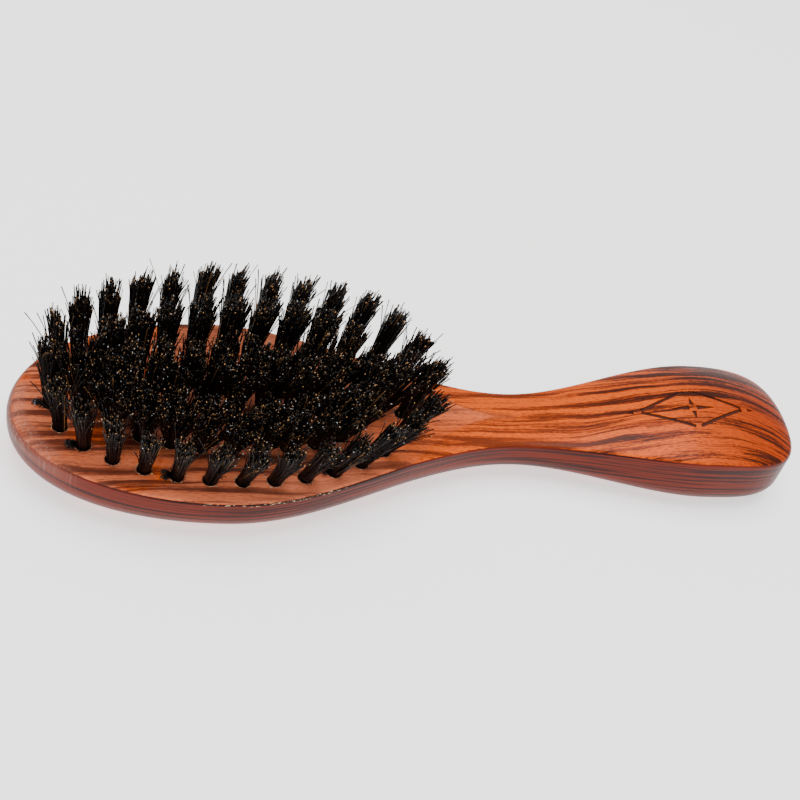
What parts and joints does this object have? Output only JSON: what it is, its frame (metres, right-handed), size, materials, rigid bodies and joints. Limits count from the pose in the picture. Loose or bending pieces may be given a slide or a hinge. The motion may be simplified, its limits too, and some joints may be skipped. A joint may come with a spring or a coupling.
{
  "type": "beard brush",
  "caption": "Wooden beard brush with an oval bristled head, a waisted neck and a bulbous grip, its bristle tufts fanned out from the flat face.",
  "frame": {"origin": "middle of the length and width, on the flat of the back that the brush lies on", "axes": "+X along the brush from the head towards the grip, +Y across it, +Z the way the bristles point"},
  "size_m": [0.17, 0.054, 0.0285],
  "materials": {
    "wood_film": "light wood under a satin film with a dark streaked figure",
    "bristle": "black natural bristle with cut, paler tips",
    "anchor_wire": "drawn flat wire"
  },
  "bodies": {
    "root": {"brush_body": "wood_film", "tuft_centre_1": "bristle", "tuft_centre_10": "bristle", "tuft_centre_11": "bristle", "tuft_centre_2": "bristle", "tuft_centre_3": "bristle", "tuft_centre_4": "bristle", "tuft_centre_5": "bristle", "tuft_centre_6": "bristle", "tuft_centre_7": "bristle", "tuft_centre_8": "bristle", "tuft_centre_9": "bristle", "tuft_far_1": "bristle", "tuft_far_2": "bristle", "tuft_far_3": "bristle", "tuft_far_4": "bristle", "tuft_far_5": "bristle", "tuft_far_6": "bristle", "tuft_far_7": "bristle", "tuft_far_8": "bristle", "tuft_far_9": "bristle", "tuft_near_1": "bristle", "tuft_near_2": "bristle", "tuft_near_3": "bristle", "tuft_near_4": "bristle", "tuft_near_5": "bristle", "tuft_near_6": "bristle", "tuft_near_7": "bristle", "tuft_near_8": "bristle", "tuft_near_9": "bristle", "tuft_outer_1": "bristle", "tuft_outer_10": "bristle", "tuft_outer_11": "bristle", "tuft_outer_12": "bristle", "tuft_outer_13": "bristle", "tuft_outer_14": "bristle", "tuft_outer_15": "bristle", "tuft_outer_16": "bristle", "tuft_outer_17": "bristle", "tuft_outer_18": "bristle", "tuft_outer_19": "bristle", "tuft_outer_2": "bristle", "tuft_outer_20": "bristle", "tuft_outer_21": "bristle", "tuft_outer_22": "bristle", "tuft_outer_23": "bristle", "tuft_outer_24": "bristle", "tuft_outer_25": "bristle", "tuft_outer_26": "bristle", "tuft_outer_27": "bristle", "tuft_outer_28": "bristle", "tuft_outer_3": "bristle", "tuft_outer_4": "bristle", "tuft_outer_5": "bristle", "tuft_outer_6": "bristle", "tuft_outer_7": "bristle", "tuft_outer_8": "bristle", "tuft_outer_9": "bristle"}
  },
  "joints": []
}
